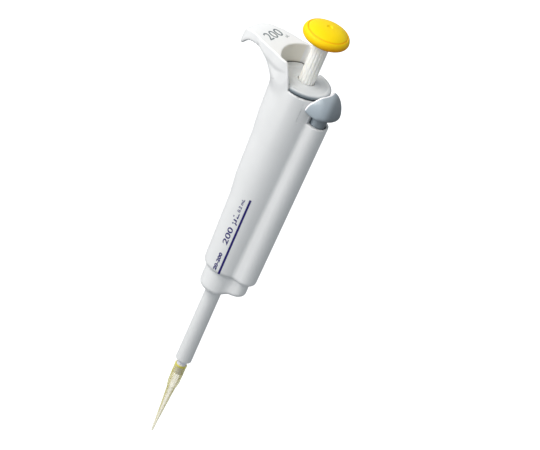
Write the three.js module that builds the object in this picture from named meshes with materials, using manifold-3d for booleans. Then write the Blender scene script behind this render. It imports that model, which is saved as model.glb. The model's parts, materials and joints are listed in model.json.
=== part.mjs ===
// A single-channel, adjustable air-displacement pipette for 20 to 200 microlitres, with one tip on.
// Millimetres. Z runs up the plunger's axis, and z = 0 is the outlet of the tip. +X is the side of
// the tip ejector, -X is the side of the finger hook, and +Y is the side of the volume window.

import * as THREE from "three";
import { mergeVertices } from "three/addons/utils/BufferGeometryUtils.js";
import Module from "manifold-3d";

const wasm = await Module();
wasm.setup();

// ---------------------------------------------------------------- driving dimensions

const GAP = 0.3; // between pieces that rest on each other
const RUN = 0.1; // radial clearance of a sliding fit
const WALL = 2; // handle wall

// tip
const TIP_LENGTH = 50;
const TIP_STEP_Z = 34; // the wider collar of the tip starts here
const TIP_RIM_R = 3.75;

// nozzle shaft
const NOZZLE_Z = 43.5; // lower end, inside the tip
const SHAFT_R = 3.8;
const SHAFT_SHOULDER_Z = 113;
const SHAFT_THREAD_R = 7.2;
const SHAFT_TOP_Z = 148;
const SEAL_BORE_R = 5.6;
const SEAL_FLOOR_Z = 118;
const CHAMBER_R = 2.3;

// tip ejector
const SLEEVE_Z = 53.4;
const SLEEVE_R = 4.9;
const SLEEVE_BORE_R = 4.2;
const COLLAR_Z = 107.5;
const COLLAR_TOP_Z = 131;
const COLLAR_R = 10.35;
const COLLAR_LOBE_X = 14;
const COLLAR_LOBE_R = 5.3;
const COLLAR_LOBE_Z = 112;
const ROD_X = 16.2;
const ROD_R = 1.3;
const EJECT_STEM_X = 18;
const EJECT_STEM_R = 4.8;
const EJECT_STEM_Z = 230;
const PAD_HALF_ANGLE = 44; // degrees each side of +X
const PAD_INNER_R = 17.2;
const PAD_TOP_Z = 259.3;
const PAD_LOW_Z = 247.6;
const PAD_REACH = 28;

// handle
const HANDLE_Z = 122.4;
const RIM_Z = 256.6; // front rim, under the top cap
const BODY_R_LOW = 12.5;
const BODY_R_RIM = 16.6;
const BACK_R_FLARE = 18.8; // radius at the back where the flare to the hook begins
const FLARE_Z = 247;
const FLARE_TOP_Z = 266;
const FLARE_R = 30.2;
const HOOK_TOP_Z = 272.3;
const LOBE_X_LOW = 15;
const LOBE_X_TOP = 16.3;
const LOBE_R_LOW = 7.2;
const LOBE_R_TOP = 7.9;
const LOBE_TOP_Z = 240.6;
const BULKHEAD_Z = 136.5;
const BULKHEAD_TOP_Z = 139.5;
const CAP_SEAT_R = 14.6;
const RECESS_R = 20; // vertical wall round the plunger, under the hook's root
const RECESS_HALF_Y = 14.7;
const COVER_HALF_ANGLE = 50; // front cover, degrees each side of +X

// top cap and plunger
const CAP_R = 16;
const CAP_TOP_Z = 260;
const STEM_R = 4.95;
const STEM_Z = 220.6;
const BUTTON_Z = 289.2;
const PISTON_R = 2;
const PISTON_Z = 94;
const PISTON_TOP_Z = 215.7;
const HEAD_Z = 216;
const FIRST_STOP = 16; // plunger travel to the first stop

// volume counter
const HUB_R = 6.8;
const DRUM_BORE_R = 7.1;
const DRUM_R = 11.6;
const DRUM_HEIGHT = 6.2;
const DRUM_PITCH = 6.9;
const ONES_Z = 229.2;
const COUNTER_BASE_Z = 221.4;
const COUNTER_PLATE_Z = 250.8;
const WINDOW_HALF_X = 5;
const WINDOW_Z = [230, 249];

// ---------------------------------------------------------------- geometry helpers

const lerp = (a, b, t) => a + (b - a) * t;
const radians = (deg) => (deg * Math.PI) / 180;

// A closed mesh as a solid, turned inside out first if its faces point inwards.
function solid(geometry) {
  const bare = geometry.index ? geometry.toNonIndexed() : geometry.clone();
  bare.deleteAttribute("normal");
  bare.deleteAttribute("uv");
  const merged = mergeVertices(bare, 1e-4);
  const make = (triVerts) =>
    new wasm.Manifold(
      new wasm.Mesh({
        numProp: 3,
        vertProperties: merged.attributes.position.array,
        triVerts,
      }),
    );
  const triangles = new Uint32Array(merged.index.array);
  const first = make(triangles);
  if (first.volume() > 0) return first;
  for (let i = 0; i < triangles.length; i += 3) {
    [triangles[i + 1], triangles[i + 2]] = [triangles[i + 2], triangles[i + 1]];
  }
  return make(triangles);
}

function geometryOf(shape) {
  const mesh = shape.getMesh();
  const positions = new Float32Array(mesh.numVert * 3);
  for (let i = 0; i < mesh.numVert; i++) {
    for (let k = 0; k < 3; k++) {
      positions[3 * i + k] = mesh.vertProperties[i * mesh.numProp + k];
    }
  }
  const geometry = new THREE.BufferGeometry();
  geometry.setAttribute("position", new THREE.BufferAttribute(positions, 3));
  geometry.setIndex([...mesh.triVerts]);
  geometry.computeVertexNormals();
  return geometry;
}

// A solid of revolution about the line x = cx, y = 0, from [radius, z] points of a closed outline.
function turned(outline, segments = 32, cx = 0) {
  const points = outline.map(([r, z]) => new THREE.Vector2(r, z));
  points.push(points[0].clone());
  const geometry = new THREE.LatheGeometry(points, segments);
  geometry.rotateX(Math.PI / 2);
  geometry.translate(cx, 0, 0);
  return solid(geometry);
}

function rod(r, z0, z1, segments = 24, cx = 0) {
  const outline = [
    [0, z0],
    [r, z0],
    [r, z1],
    [0, z1],
  ];
  const points = outline.map(([x, z]) => new THREE.Vector2(x, z));
  const geometry = new THREE.LatheGeometry(points, segments);
  geometry.rotateX(Math.PI / 2);
  geometry.translate(cx, 0, 0);
  return solid(geometry);
}

function ring(inner, outer, z0, z1, segments = 32, cx = 0) {
  return turned(
    [
      [inner, z0],
      [outer, z0],
      [outer, z1],
      [inner, z1],
    ],
    segments,
    cx,
  );
}

// A prism along Z from [x, y] points.
function upright(points, z0, z1) {
  const shape = new THREE.Shape(points.map(([x, y]) => new THREE.Vector2(x, y)));
  const geometry = new THREE.ExtrudeGeometry(shape, { depth: z1 - z0, bevelEnabled: false });
  geometry.translate(0, 0, z0);
  return solid(geometry);
}

// A prism along Y, from -halfY to halfY, from [x, z] points.
function sideways(points, halfY) {
  const shape = new THREE.Shape(points.map(([x, z]) => new THREE.Vector2(x, z)));
  const geometry = new THREE.ExtrudeGeometry(shape, { depth: 2 * halfY, bevelEnabled: false });
  geometry.rotateX(Math.PI / 2);
  geometry.translate(0, halfY, 0);
  return solid(geometry);
}

function block(x0, x1, y0, y1, z0, z1) {
  const geometry = new THREE.BoxGeometry(x1 - x0, y1 - y0, z1 - z0);
  geometry.translate((x0 + x1) / 2, (y0 + y1) / 2, (z0 + z1) / 2);
  return solid(geometry);
}

// A skin over sections that all have the same number of points, closed at both ends.
function loft(sections) {
  const count = sections[0].length;
  const points = sections.flat();
  const triangles = [];
  for (let s = 0; s + 1 < sections.length; s++) {
    for (let i = 0; i < count; i++) {
      const j = (i + 1) % count;
      const [a, b, c, d] = [s * count + i, s * count + j, (s + 1) * count + j, (s + 1) * count + i];
      triangles.push(a, b, c, a, c, d);
    }
  }
  const closeEnd = (start, flip) => {
    const centre = new THREE.Vector3();
    for (let i = 0; i < count; i++) centre.add(points[start + i]);
    points.push(centre.divideScalar(count));
    const hub = points.length - 1;
    for (let i = 0; i < count; i++) {
      const edge = [start + i, start + ((i + 1) % count)];
      triangles.push(hub, edge[flip ? 0 : 1], edge[flip ? 1 : 0]);
    }
  };
  closeEnd(0, false);
  closeEnd((sections.length - 1) * count, true);
  const geometry = new THREE.BufferGeometry();
  geometry.setAttribute(
    "position",
    new THREE.BufferAttribute(new Float32Array(points.flatMap((p) => [p.x, p.y, p.z])), 3),
  );
  geometry.setIndex(triangles);
  return solid(geometry);
}

const union = (first, ...rest) => rest.reduce((all, next) => all.add(next), first);

// ---------------------------------------------------------------- the handle's outer form

const bodyRadius = (z) => lerp(BODY_R_LOW, BODY_R_RIM, (z - HANDLE_Z) / (RIM_Z - HANDLE_Z));

function backRadius(z) {
  if (z <= FLARE_Z) return lerp(BODY_R_LOW, BACK_R_FLARE, (z - HANDLE_Z) / (FLARE_Z - HANDLE_Z));
  const t = Math.min(1, (z - FLARE_Z) / (FLARE_TOP_Z - FLARE_Z));
  return BACK_R_FLARE + (FLARE_R - BACK_R_FLARE) * t ** 1.9;
}

// Half of the hook's outline seen from above, from the side of the handle to the hook's point.
const HOOK_HALF = [
  [0, 16.55],
  [-6, 16.5],
  [-11.7, 15.9],
  [-19, 13.9],
  [-26, 12.6],
  [-33, 11.2],
  [-39, 10],
  [-43.5, 8.2],
  [-46.6, 5.4],
  [-48.2, 2.6],
  [-48.5, 0],
];

const hookOutline = (() => {
  const half = new THREE.SplineCurve(HOOK_HALF.map(([x, y]) => new THREE.Vector2(x, y)));
  const near = half.getPoints(28).map((p) => [p.x, p.y]);
  const far = near
    .slice(0, -1)
    .reverse()
    .map(([x, y]) => [x, -y]);
  return [...near, ...far];
})();

// How far the hook's outline is from the plunger's axis, in a direction given in radians.
function hookReach(angle) {
  const [dx, dy] = [Math.cos(angle), Math.sin(angle)];
  for (let i = 0; i + 1 < hookOutline.length; i++) {
    const [[ax, ay], [bx, by]] = [hookOutline[i], hookOutline[i + 1]];
    const turn = dx * (by - ay) - dy * (bx - ax);
    const along = (ax * (by - ay) - ay * (bx - ax)) / turn;
    const across = (ax * dy - ay * dx) / turn;
    if (along > 0 && across >= -1e-6 && across <= 1 + 1e-6) return along;
  }
  return BODY_R_RIM;
}

const AROUND = 48;

// The handle's section at height z, moved inwards by inset.
function handleSection(z, inset) {
  const points = [];
  for (let i = 0; i < AROUND; i++) {
    const angle = (2 * Math.PI * i) / AROUND;
    const back = ((1 - Math.cos(angle)) / 2) ** 3.5;
    let r = lerp(bodyRadius(Math.min(z, RIM_Z)), backRadius(Math.min(z, FLARE_Z)), back);
    if (z > FLARE_Z && Math.cos(angle) < -0.1) r = Math.min(backRadius(z), hookReach(angle));
    r -= inset;
    points.push(new THREE.Vector3(r * Math.cos(angle), r * Math.sin(angle), z));
  }
  return points;
}

const handleForm = (heights, inset) => loft(heights.map((z) => handleSection(z, inset)));

const lobeX = (z) => lerp(LOBE_X_LOW, LOBE_X_TOP, (z - HANDLE_Z) / (LOBE_TOP_Z - HANDLE_Z));
const lobeR = (z) => lerp(LOBE_R_LOW, LOBE_R_TOP, (z - HANDLE_Z) / (LOBE_TOP_Z - HANDLE_Z));

// The ridge along the front that holds the ejector's rod.
function lobeForm(z0, z1, inset) {
  const sections = [z0, z1].map((z) => {
    const points = [];
    for (let i = 0; i < 32; i++) {
      const angle = (2 * Math.PI * i) / 32;
      const r = lobeR(z) - inset;
      points.push(new THREE.Vector3(lobeX(z) + r * Math.cos(angle), r * Math.sin(angle), z));
    }
    return points;
  });
  return loft(sections);
}

const wedge = (halfAngle, z0, z1) => {
  const far = 60;
  const a = radians(halfAngle);
  return upright(
    [
      [0, 0],
      [far * Math.cos(a), -far * Math.sin(a)],
      [far * Math.cos(a), far * Math.sin(a)],
    ],
    z0,
    z1,
  );
};

const HANDLE_HEIGHTS = [HANDLE_Z, 160, 205, FLARE_Z, 251, 254.5, 258, 261, 263.5, 265.2, FLARE_TOP_Z];

function handleShell() {
  const tongueSide = sideways(
    [
      [-12, HOOK_TOP_Z],
      [-35, HOOK_TOP_Z],
      [-40, 271.6],
      [-44, 270.1],
      [-46.8, 267.6],
      [-48.3, 264],
      [-48.5, 261],
      [-48.1, 258.4],
      [-47, 257.2],
      [-45.6, 257.6],
      [-44.2, 259.6],
      [-42, 262.6],
      [-39, 265],
      [-35, 265.8],
      [-28, FLARE_TOP_Z],
      [-12, FLARE_TOP_Z],
    ],
    20,
  );
  const tongue = upright(hookOutline, 250, HOOK_TOP_Z + 1).intersect(tongueSide);
  const form = union(
    handleForm([...HANDLE_HEIGHTS, HOOK_TOP_Z], 0),
    lobeForm(HANDLE_Z, LOBE_TOP_Z, 0),
    tongue,
  );
  const overRim = sideways(
    [
      [40, RIM_Z],
      [-1, RIM_Z],
      [-3.7, 263.3],
      [-5.7, 267.6],
      [-8.2, 271.4],
      [-10.2, 273],
      [-10.2, 290],
      [40, 290],
    ],
    40,
  );
  const recessArc = [];
  const corner = Math.PI - Math.asin(RECESS_HALF_Y / RECESS_R);
  for (let i = 0; i <= 16; i++) {
    const angle = lerp(corner, 2 * Math.PI - corner, i / 16);
    recessArc.push([RECESS_R * Math.cos(angle), RECESS_R * Math.sin(angle)]);
  }
  const recess = upright([[5, RECESS_HALF_Y], ...recessArc, [5, -RECESS_HALF_Y]], RIM_Z, 290);
  const mainCavity = union(
    handleForm([BULKHEAD_TOP_Z, 205, FLARE_Z, 250], WALL).subtract(
      rod(EJECT_STEM_R + 1.2, 100, 260, 32, EJECT_STEM_X),
    ),
    rod(CAP_SEAT_R, 249, 262, 48),
  );
  const skirtCavity = union(
    rod(COLLAR_R + 0.45, 110, BULKHEAD_Z, 40),
    rod(COLLAR_LOBE_R + 0.45, 110, BULKHEAD_Z, 32, COLLAR_LOBE_X),
  );
  const stemBore = rod(EJECT_STEM_R + 0.4, 223, 262, 32, EJECT_STEM_X);
  const rodBore = rod(3.9, BULKHEAD_TOP_Z, 224, 24, 17);
  const bulkheadHoles = union(
    rod(SHAFT_THREAD_R + GAP, 130, 142, 32),
    rod(ROD_R + GAP, 130, 142, 16, ROD_X),
  );
  const windowHole = block(
    -WINDOW_HALF_X - GAP,
    WINDOW_HALF_X + GAP,
    5,
    30,
    WINDOW_Z[0] - GAP,
    WINDOW_Z[1] + GAP,
  );
  return form
    .subtract(overRim)
    .subtract(recess)
    .subtract(mainCavity)
    .subtract(skirtCavity)
    .subtract(stemBore)
    .subtract(rodBore)
    .subtract(bulkheadHoles)
    .subtract(windowHole)
    .subtract(wedge(COVER_HALF_ANGLE + 0.8, LOBE_TOP_Z, 262));
}

// The front cover: two cheeks flush with the handle and the channel that the ejector's stem runs in.
function frontCover() {
  const [z0, z1] = [LOBE_TOP_Z + GAP, RIM_Z - 0.2];
  const cheeks = handleForm([z0, z1], 0).subtract(handleForm([z0 - 1, z1 + 1], 1.7));
  const channel = handleForm([z0, z1], 0).intersect(
    rod(EJECT_STEM_R + 1.2, z0 - 1, z1 + 1, 32, EJECT_STEM_X),
  );
  return union(cheeks, channel)
    .intersect(wedge(COVER_HALF_ANGLE, z0 - 1, z1 + 1))
    .subtract(rod(EJECT_STEM_R + 0.4, z0 - 1, z1 + 1, 32, EJECT_STEM_X));
}

function counterWindow() {
  const [z0, z1] = WINDOW_Z;
  return handleForm([z0 - 2, z1 + 2], 0.1)
    .subtract(handleForm([z0 - 3, z1 + 3], 1.6))
    .intersect(block(-WINDOW_HALF_X, WINDOW_HALF_X, 5, 30, z0, z1));
}

function topCap() {
  const edge = 1.6;
  const bore = STEM_R + RUN + 0.15;
  const disc = turned(
    [
      [bore, RIM_Z + GAP],
      [CAP_R, RIM_Z + GAP],
      [CAP_R, CAP_TOP_Z - edge],
      [CAP_R - 0.5, CAP_TOP_Z - 0.5],
      [CAP_R - edge, CAP_TOP_Z],
      [bore, CAP_TOP_Z],
    ],
    48,
  );
  const deckR = RECESS_R - GAP;
  const deckY = RECESS_HALF_Y - GAP;
  const sideWalls = union(
    block(-30, -0.7, deckY, 30, RIM_Z, 300),
    block(-30, -0.7, -30, -deckY, RIM_Z, 300),
  );
  const deck = rod(deckR, RIM_Z + GAP, CAP_TOP_Z, 64)
    .intersect(block(-30, -3, -deckY, deckY, 200, 300))
    .subtract(rod(bore, 200, 300));
  const plug = ring(12.6, CAP_SEAT_R - GAP, COUNTER_PLATE_Z + 2.8, RIM_Z + 1, 40).subtract(
    rod(EJECT_STEM_R + 1.5, 200, 300, 32, EJECT_STEM_X),
  );
  return union(disc.subtract(sideWalls), deck, plug);
}

// ---------------------------------------------------------------- liquid end

function tip() {
  return turned(
    [
      [0.25, 0],
      [0.5, 0],
      [0.85, 6.8],
      [1.3, 13.6],
      [1.7, 20.4],
      [2.25, 27.2],
      [2.65, TIP_STEP_Z - 0.5],
      [3.05, TIP_STEP_Z],
      [3.35, 42],
      [TIP_RIM_R, TIP_LENGTH],
      [3.05, TIP_LENGTH],
      [2.86, NOZZLE_Z],
      [2.3, TIP_STEP_Z],
      [1.75, 27.2],
      [0.85, 13.6],
    ],
    24,
  );
}

function nozzleShaft() {
  return turned(
    [
      [0.8, NOZZLE_Z],
      [2.75, NOZZLE_Z],
      [2.94, 51],
      [3, 60],
      [SHAFT_R, 64],
      [SHAFT_R, SHAFT_SHOULDER_Z],
      [SHAFT_THREAD_R, SHAFT_SHOULDER_Z + 4],
      [SHAFT_THREAD_R, 133],
      [8.5, 133],
      [8.5, BULKHEAD_Z - GAP],
      [SHAFT_THREAD_R, BULKHEAD_Z - GAP],
      [SHAFT_THREAD_R, SHAFT_TOP_Z],
      [SEAL_BORE_R, SHAFT_TOP_Z],
      [SEAL_BORE_R, SEAL_FLOOR_Z],
      [CHAMBER_R, SEAL_FLOOR_Z],
      [CHAMBER_R, 72],
      [0.8, 70],
    ],
    24,
  );
}

function shaftNut() {
  const corners = [];
  for (let i = 0; i < 6; i++) {
    const angle = radians(60 * i + 30);
    corners.push([10.3 * Math.cos(angle), 10.3 * Math.sin(angle)]);
  }
  return upright(corners, BULKHEAD_TOP_Z + GAP, 145.8).subtract(
    rod(SHAFT_THREAD_R + GAP, 130, 150, 32),
  );
}

function sealRing() {
  const [middle, r] = [3.2, 0.9];
  const outline = [];
  for (let i = 0; i < 8; i++) {
    const angle = (2 * Math.PI * i) / 8;
    outline.push([middle + r * Math.cos(angle), 123.6 + r * Math.sin(angle)]);
  }
  return turned(outline, 20);
}

// ---------------------------------------------------------------- tip ejector

function ejectorSleeve() {
  return turned(
    [
      [3.35, SLEEVE_Z],
      [SLEEVE_R - 1.3, SLEEVE_Z],
      [SLEEVE_R - 0.4, SLEEVE_Z + 0.5],
      [SLEEVE_R, SLEEVE_Z + 1.6],
      [SLEEVE_R, COLLAR_Z + 3],
      [6.6, COLLAR_Z + 3],
      [6.6, COLLAR_Z + 5],
      [SLEEVE_BORE_R, COLLAR_Z + 5],
      [SLEEVE_BORE_R, SLEEVE_Z + 3.6],
      [3.35, SLEEVE_Z + 2.8],
    ],
    28,
  );
}

function ejectorCollar() {
  const round = (r, z, cx, segments) =>
    union(
      loft(
        [
          [z, r - 2],
          [z + 0.6, r - 0.6],
          [z + 2, r],
          [COLLAR_TOP_Z, r],
        ].map(([height, radius]) => {
          const points = [];
          for (let i = 0; i < segments; i++) {
            const angle = (2 * Math.PI * i) / segments;
            points.push(
              new THREE.Vector3(cx + radius * Math.cos(angle), radius * Math.sin(angle), height),
            );
          }
          return points;
        }),
      ),
    );
  const body = union(
    round(COLLAR_R, COLLAR_Z, 0, 40),
    round(COLLAR_LOBE_R, COLLAR_LOBE_Z, COLLAR_LOBE_X, 28),
  );
  return body
    .subtract(rod(8.9, COLLAR_Z + 2.7, 140, 32))
    .subtract(rod(COLLAR_LOBE_R - 1.3, COLLAR_LOBE_Z + 2.5, 140, 24, COLLAR_LOBE_X))
    .subtract(rod(SLEEVE_R + 0.2, 90, 120, 32));
}

// The grey thumb pad, a hood round the front of the handle, on a round stem.
function ejectorButton() {
  const sections = [];
  const steps = 16;
  for (let i = 0; i <= steps; i++) {
    const share = (2 * i) / steps - 1; // -1 at one wing, 0 at the nose, 1 at the other wing
    const angle = radians(PAD_HALF_ANGLE * share);
    const wing = Math.abs(share);
    const reach = lerp(PAD_REACH, 19.6, wing ** 2.2);
    const low = lerp(PAD_LOW_Z, 250, wing ** 1.5);
    const top = lerp(PAD_TOP_Z, 254, Math.max(0, (wing - 0.7) / 0.3) ** 1.6);
    const outline = [
      [PAD_INNER_R, low + 0.4],
      [PAD_INNER_R, top],
      [lerp(PAD_INNER_R, reach, 0.2), top],
      [lerp(PAD_INNER_R, reach, 0.5), lerp(top, low, 0.28)],
      [lerp(PAD_INNER_R, reach, 0.78), lerp(top, low, 0.6)],
      [reach, lerp(top, low, 0.94)],
      [reach - 0.6, low],
    ];
    sections.push(
      outline.map(([r, z]) => new THREE.Vector3(r * Math.cos(angle), r * Math.sin(angle), z)),
    );
  }
  return union(loft(sections), rod(EJECT_STEM_R, EJECT_STEM_Z, 252, 32, EJECT_STEM_X))
    .subtract(rod(PAD_INNER_R, 246, 262, 64))
    .add(rod(EJECT_STEM_R, EJECT_STEM_Z, PAD_LOW_Z + 0.5, 32, EJECT_STEM_X))
    .subtract(rod(ROD_R + GAP, EJECT_STEM_Z - 1, EJECT_STEM_Z + 6, 16, ROD_X));
}

// ---------------------------------------------------------------- plunger

function pushButton() {
  return turned(
    [
      [3.2, BUTTON_Z],
      [9, BUTTON_Z - 0.3],
      [13, 290.2],
      [14.3, 291.6],
      [14.5, 293],
      [14.3, 294.6],
      [13.3, 296.2],
      [12.2, 296.6],
      [9.5, 298],
      [5.5, 299.1],
      [0.6, 299.5],
      [0.6, 298],
      [3.2, 297.5],
    ],
    36,
  );
}

// The stem has twelve flutes, and a narrow neck that the button is pressed on.
function plungerStem() {
  const flutes = 12;
  const points = [];
  for (let i = 0; i < flutes; i++) {
    for (const [turn, r] of [
      [-0.32, STEM_R],
      [0.02, STEM_R],
      [0.2, STEM_R - 0.55],
      [0.5, STEM_R - 0.55],
    ]) {
      const angle = (2 * Math.PI * (i + turn)) / flutes;
      points.push([r * Math.cos(angle), r * Math.sin(angle)]);
    }
  }
  return union(upright(points, STEM_Z, BUTTON_Z - 1.2), rod(2.9, BUTTON_Z - 2, 297, 24));
}

// ---------------------------------------------------------------- volume counter

function drum(index) {
  const z = ONES_Z + index * DRUM_PITCH;
  const top = z + DRUM_HEIGHT;
  const web = z + 2;
  return turned(
    [
      [DRUM_BORE_R, z],
      [DRUM_R, z],
      [DRUM_R, top],
      [DRUM_R - 1.4, top],
      [DRUM_R - 1.4, web],
      [DRUM_BORE_R + 1.3, web],
      [DRUM_BORE_R + 1.3, top],
      [DRUM_BORE_R, top],
    ],
    28,
  );
}

function counterPlate() {
  const plate = ring(HUB_R - 0.6, CAP_SEAT_R - 0.5, COUNTER_PLATE_Z, COUNTER_PLATE_Z + 2.2, 40);
  const hub = ring(HUB_R - 0.6, HUB_R, ONES_Z, COUNTER_PLATE_Z + 1, 32);
  return union(plate, hub).subtract(rod(EJECT_STEM_R + 1.5, 200, 300, 32, EJECT_STEM_X));
}

function counterBase() {
  return ring(7.6, 13.2, COUNTER_BASE_Z, 224.5, 40).subtract(
    rod(EJECT_STEM_R + 1.5, 200, 300, 32, EJECT_STEM_X),
  );
}

function driveSleeve() {
  const inner = STEM_R + 0.35;
  return turned(
    [
      [inner, COUNTER_BASE_Z],
      [inner + 0.65, COUNTER_BASE_Z],
      [inner + 0.65, 225],
      [DRUM_R - 0.4, 225],
      [DRUM_R - 0.4, 227.4],
      [inner + 0.65, 227.4],
      [inner + 0.65, COUNTER_PLATE_Z + 1.5],
      [inner, COUNTER_PLATE_Z + 1.5],
    ],
    32,
  );
}

function counterPost(index) {
  const angle = radians(135 + 45 * index);
  const post = rod(0.8, 224.8, COUNTER_PLATE_Z - GAP, 12);
  return post.translate([12.9 * Math.cos(angle), 12.9 * Math.sin(angle), 0]);
}

// ---------------------------------------------------------------- materials and assembly

const plastic = (color, roughness = 0.5) =>
  new THREE.MeshStandardMaterial({ color, roughness, metalness: 0 });
const metal = (color, roughness = 0.3) =>
  new THREE.MeshStandardMaterial({ color, roughness, metalness: 1 });

const white = plastic(0xeeeeec);
const ivory = plastic(0xe8e4da);
const capGrey = plastic(0xc9cdd1);
const padGrey = plastic(0x8f989f, 0.4);
const yellow = plastic(0xf8d410, 0.35);
const nozzleWhite = plastic(0xdcdce6, 0.4);
const drumBlack = plastic(0x202226);
const innerGrey = plastic(0x9a9ea2);
const clear = new THREE.MeshStandardMaterial({
  color: 0xdfe8ee,
  roughness: 0.1,
  transparent: true,
  opacity: 0.4,
});
const tipYellow = new THREE.MeshStandardMaterial({
  color: 0xe8dc78,
  roughness: 0.25,
  transparent: true,
  opacity: 0.6,
});
const rubber = plastic(0x2a2a2a, 0.8);
const steel = metal(0xc8c8c8);
const springSteel = metal(0xb0b0b0, 0.35);

const group = new THREE.Group();

function part(name, material, shape) {
  const mesh = new THREE.Mesh(geometryOf(shape), material);
  mesh.name = name;
  group.add(mesh);
}

part("handle_shell", white, handleShell());
part("front_cover", white, frontCover());
part("counter_window", clear, counterWindow());
part("top_cap", capGrey, topCap());

part("nozzle_shaft", nozzleWhite, nozzleShaft());
part("shaft_nut", steel, shaftNut());
part("piston_seal", plastic(0xf4f4f4), ring(PISTON_R + RUN, 5.3, 118.3, 122.3));
part("seal_o_ring", rubber, sealRing());
part("seal_retainer", innerGrey, ring(2.4, 5.3, 124.8, 129.8));
part("spring_seat", innerGrey, ring(3.2, 8.4, SHAFT_TOP_Z + GAP, 151));
part("blowout_spring", springSteel, ring(5.4, 7.4, 151.3, 166));
part("blowout_washer", steel, ring(PISTON_R + RUN, 8.4, 166.3, 168.3));
part("piston_spring", springSteel, ring(3, 4.9, 168.6, PISTON_TOP_Z));
part("piston", steel, rod(PISTON_R, PISTON_Z, PISTON_TOP_Z, 24));
part("stop_collar", steel, ring(PISTON_R + 0.05, 2.7, 168.3 + FIRST_STOP + 0.3, 187.6, 24));
part("piston_head", innerGrey, rod(7, HEAD_Z, 220.3, 32));

part("counter_base", innerGrey, counterBase());
for (let i = 0; i < 3; i++) part(`counter_post_${i + 1}`, steel, counterPost(i));
part("counter_plate", innerGrey, counterPlate());
part("drive_sleeve", innerGrey, driveSleeve());
["ones_drum", "tens_drum", "hundreds_drum"].forEach((name, i) => part(name, drumBlack, drum(i)));

part("plunger_stem", ivory, plungerStem());
part("push_button", yellow, pushButton());

part("ejector_button", padGrey, ejectorButton());
part("ejector_rod", steel, rod(ROD_R, 115, EJECT_STEM_Z + 5.7, 16, ROD_X));
part("ejector_spring", springSteel, ring(ROD_R + 0.4, 2.8, 200, EJECT_STEM_Z - GAP, 20, ROD_X));
part(
  "ejector_guide",
  innerGrey,
  rod(3.6, 196, 199.7, 24, 17).subtract(rod(ROD_R + GAP, 190, 205, 16, ROD_X)),
);
part(
  "rod_clip",
  innerGrey,
  rod(3.7, 126, 128.6, 24, COLLAR_LOBE_X).subtract(rod(ROD_R + 0.15, 120, 130, 16, ROD_X)),
);
part("ejector_collar", white, ejectorCollar());
part("ejector_sleeve", white, ejectorSleeve());
part("tip", tipYellow, tip());

export default group;
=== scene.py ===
import json
import math

import bpy
import numpy as np
from mathutils import Matrix, Vector


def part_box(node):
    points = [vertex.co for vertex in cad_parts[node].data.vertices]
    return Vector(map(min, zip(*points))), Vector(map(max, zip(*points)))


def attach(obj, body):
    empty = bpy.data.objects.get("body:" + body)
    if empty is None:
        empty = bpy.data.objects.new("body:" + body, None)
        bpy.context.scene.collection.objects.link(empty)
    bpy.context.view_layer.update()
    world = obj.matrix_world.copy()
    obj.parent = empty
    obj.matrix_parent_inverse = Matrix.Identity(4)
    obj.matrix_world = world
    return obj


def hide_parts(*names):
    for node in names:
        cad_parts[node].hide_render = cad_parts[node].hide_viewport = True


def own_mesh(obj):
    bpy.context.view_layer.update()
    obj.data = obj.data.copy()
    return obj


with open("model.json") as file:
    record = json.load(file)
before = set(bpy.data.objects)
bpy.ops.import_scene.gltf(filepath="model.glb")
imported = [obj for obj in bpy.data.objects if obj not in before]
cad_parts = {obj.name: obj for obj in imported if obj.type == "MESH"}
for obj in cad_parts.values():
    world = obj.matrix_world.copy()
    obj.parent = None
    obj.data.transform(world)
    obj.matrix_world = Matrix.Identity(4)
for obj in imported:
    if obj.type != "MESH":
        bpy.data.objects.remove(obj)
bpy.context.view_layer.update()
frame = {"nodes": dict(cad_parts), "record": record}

# Everything below is worked out in millimetres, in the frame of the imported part, and turned into
# metres when a mesh is made. Z runs up the plunger's axis, -X is the finger hook's side.
MM = 0.001
COARSE = 1


# ---------------------------------------------------------------- the view

# The camera's directions: RIGHT, UP and BACK before it leans, then the picture's own axes. AIM is the
# point that it looks at, in metres.
LEAN = math.radians(23.9)
RIGHT = Vector((0.9135, 0.4067, 0))
UP = Vector((-0.2034, 0.4568, 0.866))
BACK = Vector((0.3522, -0.7911, 0.5))
AIM = Vector((0.0115, 0.0104, 0.1582))
IMAGE_RIGHT = RIGHT * math.cos(LEAN) + UP * math.sin(LEAN)
IMAGE_UP = UP * math.cos(LEAN) - RIGHT * math.sin(LEAN)


# ---------------------------------------------------------------- dimensions from the frame

def box_mm(node):
    low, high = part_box(node)
    return np.array(low) / MM, np.array(high) / MM


SHELL_LOW, SHELL_HIGH = box_mm("handle_shell")
CAP_LOW, CAP_HIGH = box_mm("top_cap")
COVER_LOW, COVER_HIGH = box_mm("front_cover")
WINDOW_LOW, WINDOW_HIGH = box_mm("counter_window")
COLLAR_LOW, COLLAR_HIGH = box_mm("ejector_collar")
SLEEVE_LOW, SLEEVE_HIGH = box_mm("ejector_sleeve")
NOZZLE_HIGH = box_mm("nozzle_shaft")[1]
TIP_HIGH = box_mm("tip")[1]
PAD_LOW, PAD_HIGH = box_mm("ejector_button")
STEM_LOW, STEM_HIGH = box_mm("plunger_stem")
BUTTON_LOW = box_mm("push_button")[0]

# The handle's foot, the hook, the rim round the cap, and the top of the front ridge, called the lobe.
HANDLE_Z = SHELL_LOW[2]
HOOK_TOP_Z = SHELL_HIGH[2]
HOOK_END_X = SHELL_LOW[0]
RIM_Z = COVER_HIGH[2] + 0.2
LOBE_TOP_Z = COVER_LOW[2] - 0.3

# The cap and the flat-sided recess that it runs back into, under the hook.
CAP_TOP_Z = CAP_HIGH[2]
CAP_R = CAP_HIGH[0]
RECESS_R = -CAP_LOW[0] + 0.3
RECESS_HALF_Y = RECESS_R * 0.735

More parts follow.
